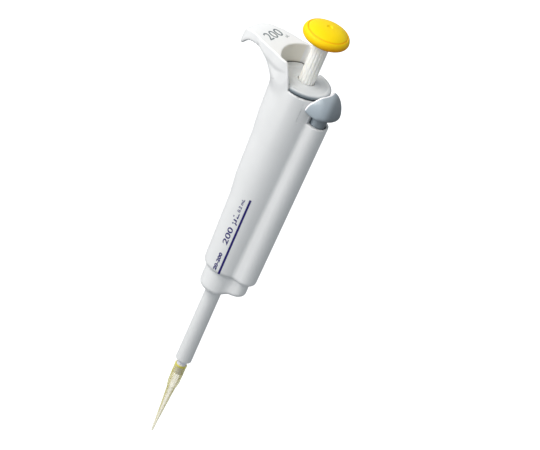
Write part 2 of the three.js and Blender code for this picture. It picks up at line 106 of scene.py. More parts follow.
# The handle's taper at its sides and at its back, and the flare of the back up to the hook. A higher
# BACK_FOCUS makes the wide back narrower round the handle, and the flare fades in between two cosines
# of the direction from +X.
BODY_R_LOW = 12.5
BODY_R_RIM = CAP_R + 0.6
BACK_R_LOW = BODY_R_LOW + 0.7
BACK_R_FLARE = BODY_R_RIM + 3.6
BACK_FOCUS = 4.2
FLARE_Z = RIM_Z - 9.6
FLARE_TOP_Z = FLARE_Z + 19
FLARE_GROWTH = 10.7
FLARE_MOST = 1.15
FLARE_COSINES = (-0.1, -0.6)

# The lobe: where it starts inside the handle, how far forward its nose reaches, its half width, and
# its corners' radius.
LOBE_X_BACK = 2
LOBE_X_LOW = 22.4
LOBE_X_TOP = SHELL_HIGH[0]
LOBE_HALF_LOW = 6.9
LOBE_HALF_TOP = 7.8
LOBE_R = 6.8

# Inside the handle: its wall, the bulkhead that holds the nozzle, and the room above it, which ends
# in a seat for the cap's plug.
WALL = 2
BULKHEAD_Z = 136.5
BULKHEAD_TOP_Z = 139.5
ROOM_TOP_Z = 250
SEAT_R = 14.6
NOZZLE_HOLE_R = 7.5

# The pad's stem and its channel, and the ejector's rod.
STEM_X = 18
PAD_STEM_R = 4.8
CHANNEL_Z = 223
CLEARANCE = 0.4
ROD_X = 16.2
ROD_HOLE_R = 1.6

# The front cover is a wedge of the wall, this many degrees to each side.
COVER_HALF_ANGLE = 50.5
# The hole for the window goes in as far as this.
WINDOW_BACK_Y = 5


# ---------------------------------------------------------------- meshes from code

def add_mesh(name, points, faces, material, normals=None):
    mesh = bpy.data.meshes.new(name)
    mesh.from_pydata([tuple(p) for p in np.asarray(points, float) * MM], [], [tuple(f) for f in faces])
    mesh.update()
    mesh.shade_smooth()
    if normals is not None:
        mesh.normals_split_custom_set_from_vertices([tuple(n) for n in normals])
    mesh.materials.append(material)
    piece = bpy.data.objects.new(name, mesh)
    bpy.context.scene.collection.objects.link(piece)
    return piece


def lerp(a, b, t):
    return a + (b - a) * t


def step01(a, b, x):
    """A smooth step from 0 at a to 1 at b."""
    t = np.clip((x - a) / (b - a), 0, 1)
    return t * t * (3 - 2 * t)


def smooth_min(a, b, k):
    """The lower of two distances, rounded over about k mm where they meet."""
    h = np.maximum(k - np.abs(a - b), 0) / k
    return np.minimum(a, b) - h * h * k / 4


def smooth_max(a, b, k):
    return -smooth_min(-a, -b, k)


def smooth_line(points, steps=8):
    """A Catmull-Rom curve through points, as a list of points."""
    p = np.array([points[0], *points, points[-1]], float)
    out = []
    for i in range(1, len(p) - 2):
        for t in np.arange(steps) / steps:
            a, b, c, d = p[i - 1], p[i], p[i + 1], p[i + 2]
            out.append(0.5 * (2 * b + (c - a) * t + (2 * a - 5 * b + 4 * c - d) * t * t
                              + (3 * b - a - 3 * c + d) * t ** 3))
    out.append(p[-2])
    return np.array(out)


def polygon_distance(px, py, points):
    """Signed distance to a closed polygon, negative inside."""
    best = None
    inside = None
    for (ax, ay), (bx, by) in zip(points, np.roll(points, -1, axis=0)):
        ex, ey = bx - ax, by - ay
        wx, wy = px - ax, py - ay
        t = np.clip((wx * ex + wy * ey) / max(ex * ex + ey * ey, 1e-12), 0, 1)
        d = (wx - ex * t) ** 2 + (wy - ey * t) ** 2
        crosses = ((ay <= py) != (by <= py)) & (wx * abs(ey) < wy * ex * np.sign(ey))
        best = d if best is None else np.minimum(best, d)
        inside = crosses if inside is None else inside ^ crosses
    return np.where(inside, -1, 1) * np.sqrt(best)


# A grid cell's corners and edges, and the directions that probe() looks in.
CORNERS = [(i, j, k) for i in (0, 1) for j in (0, 1) for k in (0, 1)]
EDGES = [(a, b) for a in CORNERS for b in CORNERS if a < b and sum(np.abs(np.subtract(a, b))) == 1]
TETRAHEDRON = np.array([(1, -1, -1), (-1, -1, 1), (-1, 1, -1), (1, 1, 1)])


def probe(field, p, h=0.04):
    """The field's value and slope at points p, from the corners of a small tetrahedron."""
    value, slope = 0, 0
    for corner in TETRAHEDRON:
        f = field(*(p + h * corner).T)
        value = value + f / 4
        slope = slope + f[:, None] * corner / (4 * h)
    return value, slope


def skin(name, field, low, high, step, material):
    """The surface where field(x, y, z) is 0, as a mesh of quads on a grid of the given step."""
    step *= COARSE
    axes = [np.arange(a - 1.5 * step, b + 2.5 * step, step) for a, b in zip(low, high)]
    x, y, z = np.meshgrid(*axes, indexing="ij", sparse=True)
    f = np.broadcast_to(field(x, y, z), [len(a) for a in axes])
    inside = f < 0
    count = np.zeros([n - 1 for n in f.shape], np.int8)
    for i, j, k in CORNERS:
        count += inside[i:f.shape[0] - 1 + i, j:f.shape[1] - 1 + j, k:f.shape[2] - 1 + k]
    cells = np.argwhere((count > 0) & (count < 8))
    number = np.full(count.shape, -1)
    number[tuple(cells.T)] = np.arange(len(cells))
    total = np.zeros((len(cells), 3))
    hits = np.zeros(len(cells))
    for a, b in EDGES:
        fa, fb = f[tuple((cells + a).T)], f[tuple((cells + b).T)]
        cut = (fa < 0) != (fb < 0)
        t = np.where(cut, fa / np.where(cut, fa - fb, 1), 0)
        total += cut[:, None] * (cells + a + t[:, None] * np.subtract(b, a))
        hits += cut
    points = np.array([a[0] for a in axes]) + step * total / hits[:, None]
    for _ in range(2):
        value, slope = probe(field, points)
        move = value[:, None] * slope / np.maximum((slope * slope).sum(1), 0.05)[:, None]
        points -= np.clip(move, -0.5 * step, 0.5 * step)
    slope = probe(field, points)[1]
    normals = slope / np.maximum(np.linalg.norm(slope, axis=1), 1e-9)[:, None]
    faces = []
    unit = np.eye(3, dtype=int)
    middle = [slice(1, -1)] * 3
    for axis in range(3):
        u, v = unit[(axis + 1) % 3], unit[(axis + 2) % 3]
        upper = list(middle)
        upper[axis] = slice(2, None)
        at = np.argwhere(inside[tuple(middle)] != inside[tuple(upper)]) + 1
        quad = np.stack([number[tuple((at - back).T)] for back in (u + v, v, 0 * u, u)], axis=1)
        flipped = ~inside[tuple(at.T)]
        quad[flipped] = quad[flipped][:, ::-1]
        faces.append(quad)
    return add_mesh(name, points, np.concatenate(faces).tolist(), material, normals)


def rounded(outline, radius, steps=5):
    """An outline of (r, z) or (r, z, its own corner radius) points with its corners rounded."""
    out = []
    count = len(outline)
    for i, corner in enumerate(outline):
        p = np.array(corner[:2], float)
        before = np.array(outline[i - 1][:2], float)
        after = np.array(outline[(i + 1) % count][:2], float)
        r = corner[2] if len(corner) > 2 else radius
        to_before, to_after = before - p, after - p
        la, lb = np.linalg.norm(to_before), np.linalg.norm(to_after)
        reach = min(r, 0.45 * la, 0.45 * lb)
        if reach < 1e-3 or p[0] < 1e-6:
            out.append(p)
            continue
        a, b = p + to_before / la * reach, p + to_after / lb * reach
        for t in np.linspace(0, 1, steps):
            out.append((1 - t) ** 2 * a + 2 * t * (1 - t) * p + t * t * b)
    return np.array(out)


# Points nearer to the axis than this get no relief.
CORE_R = 1.5


def turned(name, outline, material, segments, relief=None):
    """A solid of revolution from a closed outline of (r, z) points, given anticlockwise.

    relief(angle, z) is added to the radius of the points that lie outside the core."""
    count = len(outline)
    angles = 2 * np.pi * np.arange(segments) / segments
    points = []
    rings = []
    for r, z in outline:
        start = len(points)
        if r < 1e-6:
            points.append((0, 0, z))
            rings.append([start] * segments)
        else:
            radii = r + (relief(angles, z) if relief and r > CORE_R else 0 * angles)
            points.extend(zip(radii * np.cos(angles), radii * np.sin(angles), [z] * segments))
            rings.append(list(range(start, start + segments)))
    faces = []
    for i in range(count):
        a, b = rings[i], rings[(i + 1) % count]
        for s in range(segments):
            t = (s + 1) % segments
            face = list(dict.fromkeys([a[s], a[t], b[t], b[s]]))
            if len(face) > 2:
                faces.append(face)
    return crisp(add_mesh(name, points, faces, material))


def crisp(piece, degrees=40):
    """Edges sharper than this angle stay sharp in the smooth shading."""
    piece.data.set_sharp_from_angle(angle=math.radians(degrees))
    return piece


def coil(name, radius, wire, z0, z1, turns, material, x=0):
    """A compression spring round the line through x along Z, with closer turns at its ends."""
    per_turn, ring, evenness = 36, 12, 0.75
    t = np.linspace(0, 1, int((turns + 2) * per_turn))
    height = lerp(z0 + wire, z1 - wire, lerp(step01(0, 1, t), t, evenness))
    angle = 2 * np.pi * (turns + 2) * t
    centre = np.stack([x + radius * np.cos(angle), radius * np.sin(angle), height], axis=1)
    along = np.gradient(centre, axis=0)
    along /= np.linalg.norm(along, axis=1)[:, None]
    out = np.stack([np.cos(angle), np.sin(angle), 0 * angle], axis=1)
    side = np.cross(along, out)
    points = []
    for a in 2 * np.pi * np.arange(ring) / ring:
        points.append(centre + wire * (math.cos(a) * out + math.sin(a) * side))
    points = np.stack(points, axis=1).reshape(-1, 3)
    faces = []
    for i in range(len(t) - 1):
        for s in range(ring):
            n = (s + 1) % ring
            faces.append((i * ring + s, i * ring + n, (i + 1) * ring + n, (i + 1) * ring + s))
    faces.append(tuple(range(ring))[::-1])
    faces.append(tuple((len(t) - 1) * ring + s for s in range(ring)))
    return add_mesh(name, points, faces, material)


# ---------------------------------------------------------------- materials

def linear(r, g, b):
    """An sRGB colour from 0 to 255 as a linear colour."""
    return tuple(((c / 255) / 12.92 if c / 255 <= 0.04045 else ((c / 255 + 0.055) / 1.055) ** 2.4)
                 for c in (r, g, b)) + (1.0,)


def feed(tree, node, inputs):
    """Sets each input of a node to a value, or links it to the output that is given for it."""
    for socket, value in inputs.items():
        if isinstance(value, bpy.types.NodeSocket):
            tree.links.new(value, node.inputs[socket])
        else:
            node.inputs[socket].default_value = value


def add_node(tree, kind, inputs, **settings):
    node = tree.nodes.new("ShaderNode" + kind)
    for setting, value in settings.items():
        setattr(node, setting, value)
    feed(tree, node, inputs)
    return node


def mix(tree, factor, a, b, blend_type="MIX"):
    inputs = {"Factor": factor, "A": a, "B": b}
    return add_node(tree, "Mix", inputs, data_type="RGBA", blend_type=blend_type).outputs["Result"]


def spread(tree, value, low, high):
    """The range from 0 to 1 of a value, spread from low to high."""
    return add_node(tree, "MapRange", {"Value": value, "To Min": low, "To Max": high}).outputs["Result"]


def noise(tree, place, scale, detail, rough=0.5):
    inputs = {"Vector": place, "Scale": scale, "Detail": detail, "Roughness": rough}
    return add_node(tree, "TexNoise", inputs).outputs["Fac"]


def bump(tree, height, strength, distance):
    inputs = {"Height": height, "Strength": strength, "Distance": distance}
    return add_node(tree, "Bump", inputs).outputs["Normal"]


def new_material(name):
    material = bpy.data.materials.new(name)
    material.use_nodes = True
    return material, material.node_tree, material.node_tree.nodes["Principled BSDF"]


def object_place(tree):
    return add_node(tree, "TexCoord", {}).outputs["Object"]


def plastic(name, color, roughness, grain=2600, grain_depth=0.08, mottle=0.03, tinted=False, **sockets):
    """Moulded plastic: a fine matt texture, clouds of slightly other colour, and uneven gloss.

    tinted multiplies the colour by the piece's own "tint", as paint() puts it on the points."""
    cloud_scale, smear_scale, unevenness, grain_height = 45, 160, 0.06, 0.0002
    material, tree, shader = new_material(name)
    place = object_place(tree)
    dark = tuple(c * (1 - 2 * mottle) for c in color[:3]) + (1.0,)
    light = tuple(min(1, c * (1 + mottle)) for c in color[:3]) + (1.0,)
    tint = mix(tree, noise(tree, place, cloud_scale, 4, 0.55), dark, light)
    if tinted:
        local = add_node(tree, "Attribute", {}, attribute_name="tint").outputs["Color"]
        tint = mix(tree, 1, tint, local, "MULTIPLY")
    smear = noise(tree, place, smear_scale, 5, 0.55)
    feed(tree, shader, {
        "Base Color": tint,
        "Roughness": spread(tree, smear, roughness - unevenness, roughness + unevenness),
        "Normal": bump(tree, noise(tree, place, grain, 3, 0.6), grain_depth, grain_height),
        **{socket.replace("_", " "): value for socket, value in sockets.items()},
    })
    return material


def paint(piece, tint):
    """Puts tint(x, y, z), a multiplier for the colour of each point, on a piece."""
    points = np.array([v.co for v in piece.data.vertices]) / MM
    colors = np.ones((len(points), 4))
    colors[:, :3] = tint(*points.T)
    layer = piece.data.color_attributes.new("tint", "FLOAT_COLOR", "POINT")
    layer.data.foreach_set("color", colors.ravel())


def steel(name, color, roughness):
    """Ground steel: fine rings round the axis in the gloss and the surface."""
    material, tree, shader = new_material(name)
    stretch = {"Vector": object_place(tree), "Scale": (60, 60, 6000)}
    stretched = add_node(tree, "Mapping", stretch).outputs["Vector"]
    rings = noise(tree, stretched, 1, 3)
    dark = tuple(c * 0.85 for c in color[:3]) + (1,)
    feed(tree, shader, {
        "Metallic": 1,
        "Base Color": mix(tree, rings, dark, color),
        "Roughness": spread(tree, rings, roughness - 0.08, roughness + 0.12),
        "Normal": bump(tree, rings, 0.15, 0.0001),
    })
    return material


def translucent(name, color, clear, roughness, tinted=False):
    """Thin tinted plastic that shows what is behind it, cloudier where it is seen edge on."""
    haze_scale, haze_depth, edge_power, edge_cover = 220, 0.08, 1.35, 0.95
    material = plastic(name, color, roughness, grain=900, grain_depth=0.03, tinted=tinted)
    tree = material.node_tree
    edge = add_node(tree, "LayerWeight", {"Blend": 0.5}).outputs["Facing"]
    steep = add_node(tree, "Math", {0: edge, 1: edge_power}, operation="POWER").outputs["Value"]
    haze = {0: noise(tree, object_place(tree), haze_scale, 2), 1: haze_depth, 2: steep}
    cloud = add_node(tree, "Math", haze, operation="MULTIPLY_ADD").outputs["Value"]
    feed(tree, tree.nodes["Principled BSDF"], {
        "IOR": 1.49,
        "Alpha": spread(tree, cloud, 1 - clear, edge_cover),
    })
    return material


WHITE = plastic("body_white", linear(240, 240, 240), 0.4)
# The shell's tint is painted warm bounce light and painted shade in the recess.
SHELL_WHITE = plastic("shell_white", linear(240, 240, 240), 0.4, tinted=True)
IVORY = plastic("stem_ivory", linear(253, 251, 244), 0.45, mottle=0.01, Subsurface_Weight=0.5,
                Subsurface_Radius=(1, 0.95, 0.85), Subsurface_Scale=0.004)
# The cap's tint is painted shade along its edges and at its foot.
CAP_GREY = plastic("cap_grey", linear(216, 219, 221), 0.4, tinted=True)
# The pad's tint is a painted highlight on its inner rim and painted light and shade across it.
PAD_GREY = plastic("pad_grey", linear(154, 164, 172), 0.42, mottle=0.04, tinted=True,
                   Specular_IOR_Level=0.9)
# The button's tint is painted orange shade underneath and in its groove.
YELLOW = plastic("button_yellow", linear(255, 217, 8), 0.5, mottle=0.02, tinted=True,
                 Specular_IOR_Level=0.15)
SHAFT = plastic("shaft_white", linear(242, 241, 250), 0.24)
INNER = plastic("inner_grey", linear(150, 154, 158), 0.5)
DRUM = plastic("drum_black", linear(38, 40, 44), 0.45)
SEAL = plastic("seal_white", linear(240, 240, 236), 0.55)
RUBBER = plastic("o_ring_rubber", linear(34, 34, 34), 0.75)
INK = plastic("print_indigo", linear(36, 24, 112), 0.45, mottle=0.05)
GREY_INK = plastic("print_grey", linear(112, 122, 125), 0.5, mottle=0.05)
FIGURES = plastic("print_figures", linear(240, 240, 238), 0.5)
STEEL = steel("ground_steel", (0.58, 0.58, 0.6, 1), 0.28)
SPRING = steel("spring_steel", (0.42, 0.42, 0.44, 1), 0.33)
TIP = translucent("tip_yellow", linear(222, 219, 100), 0.94, 0.3, tinted=True)
TIP_BORE = translucent("tip_bore_yellow", linear(255, 230, 184), 0.93, 0.3)
TIP_RIM = translucent("tip_rim_yellow", linear(232, 222, 60), 0.4, 0.3)
WINDOW = translucent("clear_window", linear(222, 232, 238), 0.85, 0.08)


# ---------------------------------------------------------------- the handle's outer form

def side_radius(z):
    return lerp(BODY_R_LOW, BODY_R_RIM, (z - HANDLE_Z) / (RIM_Z - HANDLE_Z))


# Each grip facet: the height of its upper edge, the direction where it begins on each side, how
# fast its lower edge falls towards the back, and how fast it sinks below the plain taper.
FACETS = ((212, 113.5, 0.78, 0.017), (170, 104.5, 0.96, 0.02))
FACET_SPAN = 52
FACET_RUNOUT = 17


def grip_sink(degrees, z):
    """How far the two facets of the back lie below its plain taper."""
    sink = 0
    for top, begin, fall, slope in FACETS:
        depth = slope * fall * np.clip(degrees - begin, 0, FACET_SPAN)
        bottom = top - depth / slope
        rise = np.clip((z - bottom) / np.maximum(top - bottom, 1e-3), 0, 1)
        sink = sink + depth * rise * (1 - step01(top, top + FACET_RUNOUT, z))
    return sink


def handle_radius(x, y, z):
    """The handle's radius at height z towards (x, y): wider at the back, flaring to the hook."""
    cos = x / np.maximum(np.hypot(x, y), 1e-6)
    back = ((1 - cos) / 2) ** BACK_FOCUS
    up = (np.minimum(z, FLARE_Z) - HANDLE_Z) / (FLARE_Z - HANDLE_Z)
    straight = lerp(BACK_R_LOW, BACK_R_FLARE, up)
    side = side_radius(np.minimum(z, RIM_Z))
    rise = np.clip((z - FLARE_Z) / (FLARE_TOP_Z - FLARE_Z), 0, FLARE_MOST)
    flare = FLARE_GROWTH * rise ** 2 * step01(*FLARE_COSINES, cos)
    return side + (straight - side) * back + flare - grip_sink(np.degrees(np.arccos(cos)), z)


# The hook and the handle's top seen from above, as the half width at each x, and mirrored.
HOOK_HALF = smooth_line([(30, 22), (2, 17.2), (-6, 16.55), (-11.7, 15.9), (-19, 13.9), (-26, 12.6),
                         (-33, 11.2), (-39, 10), (-43.5, 8.2), (-46.6, 5.4), (-48.2, 2.6),
                         (HOOK_END_X, 0)])
HOOK_OUTLINE = np.concatenate([HOOK_HALF, HOOK_HALF[-2::-1] * (1, -1)])
# Three outlines seen from the side, as (x, z). The first is what lies over the arm's lower line.
HOOK_SIDE = np.concatenate([
    [(4, 290), (-52, 290)],
    smooth_line([(-52, 262), (-49.3, 258.6), (-47, 257.2), (-45.6, 257.8), (-44.2, 259.8), (-42, 262.6),
                 (-39, 264.9), (-35, 265.8), (-28, 266), (-12, 265.2), (4, 264)], 6),
])
# What lies under the hook's top and behind its end.
HOOK_TOP = np.concatenate([
    [(60, 90), (60, HOOK_TOP_Z), (-8, HOOK_TOP_Z)],
    smooth_line([(-30, HOOK_TOP_Z), (-35, HOOK_TOP_Z - 0.1), (-40, 271.5), (-44, 270), (-46.8, 267.6),
                 (-48.2, 264.4), (HOOK_END_X, 261), (HOOK_END_X, 257), (HOOK_END_X, 240)], 6),
    [(HOOK_END_X, 90)],
])
# The open space over the rim, in front of the hook.
OVER_RIM = np.concatenate([
    [(60, RIM_Z), (0.5, RIM_Z)],
    smooth_line([(-1, RIM_Z), (-2.2, 259.6), (-3.9, 263.6), (-5.8, 267.6), (-7.6, 270.6), (-9.2, 272.1),
                 (-11.5, 273.2)], 6),
    [(-12, 300), (60, 300)],
])


def two_circles(x, y, x0, r0, x1, r1):
    """Distance to the outline drawn tightly round two circles that have their centres on the X axis."""
    length = x1 - x0
    lean = (r0 - r1) / length
    level = np.sqrt(1 - lean * lean)
    side, along = np.abs(y), x - x0
    place = along * level - side * lean
    near = np.hypot(along, side) - r0
    far = np.hypot(x - x1, side) - r1
    flank = side * level + along * lean - r0
    return np.where(place < 0, near, np.where(place > level * length, far, flank))


def lobe_distance(x, y, z):
    """Distance to the ridge along the front, with flat sides and a rounded nose."""
    t = (z - HANDLE_Z) / (LOBE_TOP_Z - HANDLE_Z)
    across = np.abs(y) - lerp(LOBE_HALF_LOW, LOBE_HALF_TOP, t)
    ahead = np.maximum(x - lerp(LOBE_X_LOW, LOBE_X_TOP, t), LOBE_X_BACK - x)
    corner = np.hypot(np.maximum(across + LOBE_R, 0), np.maximum(ahead + LOBE_R, 0))
    return corner + np.minimum(np.maximum(across, ahead) + LOBE_R, 0) - LOBE_R


def handle_form(x, y, z):
    """The outside of the handle and hook, with nothing cut out of it but the space over the rim."""
    outline = polygon_distance(x, y, HOOK_OUTLINE)
    body = smooth_max(np.hypot(x, y) - handle_radius(x, y, z), outline, 2)
    arm = smooth_max(polygon_distance(x, z, HOOK_SIDE), outline, 2.4)
    fillet = lerp(0.4, 3.6, step01(-6, -17, x))
    hooked = smooth_min(body, arm, fillet)
    lobe = smooth_max(lobe_distance(x, y, z), z - LOBE_TOP_Z, 0.7)
    clear_of_lobe = z > LOBE_TOP_Z + 6
    form = np.where(clear_of_lobe, hooked, smooth_min(hooked, lobe, 1.3))
    form = smooth_max(form, HANDLE_Z - z, 3.2)
    form = smooth_max(form, polygon_distance(x, z, HOOK_TOP), 0.9)
    return smooth_max(form, -polygon_distance(x, z, OVER_RIM), 0.6)


def wedge_distance(x, y, half_angle):
    """Distance to a wedge from the axis towards +X, half_angle degrees to each side."""
    a = math.radians(half_angle)
    return np.abs(y) * math.cos(a) - x * math.sin(a)


def rounded_rectangle(a, b, half_a, half_b, r):
    """Distance to a rectangle with its middle at 0, 0 and corners of radius r."""
    qa, qb = np.abs(a) - half_a + r, np.abs(b) - half_b + r
    outside = np.hypot(np.maximum(qa, 0), np.maximum(qb, 0))
    return outside + np.minimum(np.maximum(qa, qb), 0) - r


def window_outline(x, z, extra, r):
    """Distance to the volume window's outline, grown by extra, seen from the side."""
    middle = (WINDOW_LOW[2] + WINDOW_HIGH[2]) / 2
    half = (WINDOW_HIGH[2] - WINDOW_LOW[2]) / 2
    return rounded_rectangle(x, z - middle, WINDOW_HIGH[0] + extra, half + extra, r)


def collar_outline(x, y, extra=0.0):
    """Distance to the ejector collar seen from above: a ring with a nose towards +X."""
    back_x, back_r, nose_r = 8.5, 5.2, 4.8
    nose = two_circles(x, y, back_x, back_r, COLLAR_HIGH[0] - nose_r, nose_r)
    return smooth_min(np.hypot(x, y) + COLLAR_LOW[0], nose, 2) - extra


def channel(x, y, extra):
    return np.hypot(x - STEM_X, y) - (PAD_STEM_R + extra)


def stem_opening(x, y, extra=0.0):
    """The channel of the pad's stem with the wider mouth that it has in the front cover."""
    mouth_half, mouth_x = 6.8, 14
    mouth = np.maximum(np.abs(y) - mouth_half, mouth_x - x)
    return np.minimum(channel(x, y, CLEARANCE), mouth) - extra


def inner_room(x, y, z):
    """The room inside the handle above the bulkhead."""
    room = np.hypot(x, y) - (handle_radius(x, y, np.minimum(z, FLARE_Z)) - WALL)
    room = np.maximum(room, np.maximum(BULKHEAD_TOP_Z - z, z - ROOM_TOP_Z))
    seat = np.maximum(np.hypot(x, y) - SEAT_R, ROOM_TOP_Z - 1 - z)
    return np.maximum(np.minimum(room, seat), -stem_opening(x, y, 1))


def shell_field(x, y, z):
    rod_room_x, rod_room_r = 17, 3.9
    rho = np.hypot(x, y)
    recess = smooth_max(rho - RECESS_R, np.abs(y) - RECESS_HALF_Y, 0.5)
    form = smooth_max(handle_form(x, y, z), -np.maximum(recess, RIM_Z - z), 0.8)
    form = smooth_max(form, -inner_room(x, y, z), 0.3)
    collar_room = np.maximum(collar_outline(x, y, CLEARANCE), z - BULKHEAD_Z)
    form = smooth_max(form, -collar_room, 0.5)
    form = smooth_max(form, -np.maximum(channel(x, y, CLEARANCE), CHANNEL_Z - z), 0.5)
    rod_room = np.hypot(x - rod_room_x, y) - rod_room_r
    rod_room = np.maximum(rod_room, np.maximum(BULKHEAD_TOP_Z - z, z - CHANNEL_Z - 1))
    form = np.maximum(form, -rod_room)
    holes = np.minimum(rho - NOZZLE_HOLE_R, np.hypot(x - ROD_X, y) - ROD_HOLE_R)
    form = np.maximum(form, -np.maximum(holes, np.abs(z - BULKHEAD_Z) - 6))
    window = np.maximum(window_outline(x, z, 0.3, 1.3), WINDOW_BACK_Y - y)
    form = smooth_max(form, -window, 0.5)
    front = np.maximum(wedge_distance(x, y, COVER_HALF_ANGLE), LOBE_TOP_Z - z)
    return smooth_max(form, -front, 0.15)


def cover_field(x, y, z):
    """The front cover: a thin wall, and a thicker rim round the stem's channel."""
    outer = np.where(z > LOBE_TOP_Z, np.hypot(x, y) - side_radius(z), handle_form(x, y, z)) + 0.1
    cheek = np.maximum(outer, -(outer + 1.7))
    wall = np.maximum(outer, stem_opening(x, y, 0.8))
    form = smooth_max(smooth_min(cheek, wall, 0.6), wedge_distance(x, y, COVER_HALF_ANGLE + 1), 0.15)
    form = np.maximum(form, LOBE_TOP_Z - 0.8 - z)
    form = smooth_max(form, z - COVER_HIGH[2], 0.5)
    return smooth_max(form, -stem_opening(x, y), 0.4)


def window_field(x, y, z):
    outer = np.hypot(x, y) - handle_radius(x, y, z)
    pane = np.maximum(outer + 0.1, -(outer + 1.6))
    return np.maximum(smooth_max(pane, window_outline(x, z, 0, 1.1), 0.5), WINDOW_BACK_Y - y)


def recess_tint(x, y, z):
    """Painted light on the recess: a warmer white on its walls stands in for warm light thrown back from
    the yellow button and the cap, and painted shade darkens the gap beside the cap.
    """
    rho, half = np.hypot(x, y), np.abs(y)
    # Painted warm bounce light on the recess walls.
    walls = step01(0.6, 0.2, rho - RECESS_R) * (half < RECESS_HALF_Y - 1.2)
    walls = walls * step01(HOOK_TOP_Z - 0.2, HOOK_TOP_Z - 0.9, z) * (z > RIM_Z)
    # Painted shade in the gap beside the cap.
    gap = (rho < RECESS_R + 0.15) & (half < RECESS_HALF_Y + 0.15)
    gap = gap & (x < -3) & (z > RIM_Z - 0.6) & (z < CAP_TOP_Z - 0.4)
    return (1 - walls[:, None] * (0.0, 0.03, 0.12)) * (1 - 0.75 * gap[:, None])


def make_handle():
    shell = skin("handle_shell_skin", shell_field, SHELL_LOW, SHELL_HIGH, 0.6, SHELL_WHITE)
    paint(shell, recess_tint)
    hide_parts("handle_shell")
    cover = skin("front_cover_skin", cover_field, COVER_LOW, COVER_HIGH, 0.35, WHITE)
    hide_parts("front_cover")
    pane = skin("counter_window_pane", window_field, WINDOW_LOW, WINDOW_HIGH, 0.35, WINDOW)
    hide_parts("counter_window")
    for piece, slot in ((shell, "body_white"), (cover, "body_white"), (pane, "clear_window")):
        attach(piece, "root")


# ---------------------------------------------------------------- top cap, plunger and button

PLATE_Z = CAP_LOW[2] + 3.3
STEM_HOLE_R = 5.25


def cap_field(x, y, z):
    """The cap: a dished plate that runs back into the recess, over a plug in the handle.

    The dish sinks inside its edge, rises to the stem, and has one round dent."""
    plug_r, plug_bore_r = 14.3, 12.6
    dent_x, dent_y, dent_r = -6.4, -2.6, 0.95
    rho = np.hypot(x, y)
    under = 0.5 * step01(CAP_TOP_Z - 1.2, CAP_TOP_Z - 3.1, z) - 0.35
    front = np.maximum(rho - CAP_R + under, polygon_distance(x, z, OVER_RIM) + 0.9)
    side_gap = 0.3 + 0.8 * step01(-6.5, -4.5, x)
    deck = np.maximum(np.maximum(rho - (RECESS_R - 0.3), np.abs(y) - (RECESS_HALF_Y - side_gap)), x - 2)
    disc = smooth_min(front, deck, 0.6)
    dish = CAP_TOP_Z - 0.5 * step01(14.6, 13.0, rho) + 0.75 * step01(9.5, 5.4, rho)
    plate = np.maximum(smooth_max(disc, z - dish, 2.4), PLATE_Z - z)
    plug = np.maximum(rho - plug_r, plug_bore_r - rho)
    plug = np.maximum(plug, np.maximum(CAP_LOW[2] - z, z - CAP_TOP_Z + 2))
    plug = np.maximum(plug, -channel(x, y, 1.5))
    dent = np.sqrt((x - dent_x) ** 2 + (y - dent_y) ** 2 + (z - CAP_TOP_Z - 0.2) ** 2) - dent_r
    form = smooth_max(np.minimum(plate, plug), -dent, 0.3)
    return smooth_max(form, STEM_HOLE_R - rho, 0.5)


def cap_tint(x, y, z):
    """Painted shade on the cap: darker along the lower side of its front edge, deeper down beside the
    recess's walls, and most at the plate's foot.
    """
    front = (x > -4.5) * step01(14.9, 15.7, np.hypot(x, y))
    painted_shade = step01(CAP_TOP_Z + 0.1, CAP_TOP_Z - 1.2, z) * front
    painted_shade = np.maximum(painted_shade, (x <= -4.5) & (z < CAP_TOP_Z - 1.2))
    painted_shade = np.maximum(painted_shade, (x <= -3) & (np.abs(y) > RECESS_HALF_Y - 1.9) & (z < CAP_TOP_Z - 0.5))
    painted_shade = np.maximum(painted_shade, 1.3 * step01(PLATE_Z + 0.8, PLATE_Z + 0.2, z))
    return 1 - painted_shade[:, None] * (0.7, 0.66, 0.63)


def make_cap():
    cap = skin("top_cap_skin", cap_field, CAP_LOW, CAP_HIGH, 0.4, CAP_GREY)
    paint(cap, cap_tint)
    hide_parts("top_cap")
    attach(cap, "root")


def make_stem():
    """The fluted stem: fifteen shallow grooves, ending in a plain collar under the button."""
    flutes, depth, collar = 15, 0.32, 3.4
    first = math.radians(-74)
    r, low, top = STEM_HIGH[0], STEM_LOW[2], BUTTON_LOW[2]

    def relief(angle, z):
        phase = flutes * (angle - first) / (2 * math.pi)
        from_groove = np.abs(phase - np.round(phase))
        return -depth * step01(0.3, 0.1, from_groove) * step01(top - collar, top - collar - 1, z)

    outline = [(0, low), (r - 0.7, low), (r - 0.2, low + 0.15), (r, low + 0.5), (r, top - 5),
               (r, top - 4.4), (r, top - 4), (r, top - collar), (r, top + 0.8), (0, top + 0.8)]
    stem = turned("plunger_stem_skin", np.array(outline), IVORY, 240, relief)
    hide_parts("plunger_stem")
    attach(stem, "knob")


GROOVE_R = 12.4


def button_tint(x, y, z):
    """Painted shade: more orange underneath, most of all on the side along RIGHT, away from the lamps, and
    in the groove.
    """
    foot, groove_width = BUTTON_LOW[2], 0.42
    shaded_side = lerp(0.3, 1, step01(-8, 9, RIGHT.x * x + RIGHT.y * y))
    low = step01(foot + 8, foot + 2.5, z) * shaded_side
    groove = np.exp(-((np.hypot(x, y) - GROOVE_R) / groove_width) ** 2) * (z > foot + 6)
    return (1 - low[:, None] * (0.02, 0.46, 0.9)) * (1 - groove[:, None] * (0.06, 0.34, 0.7))


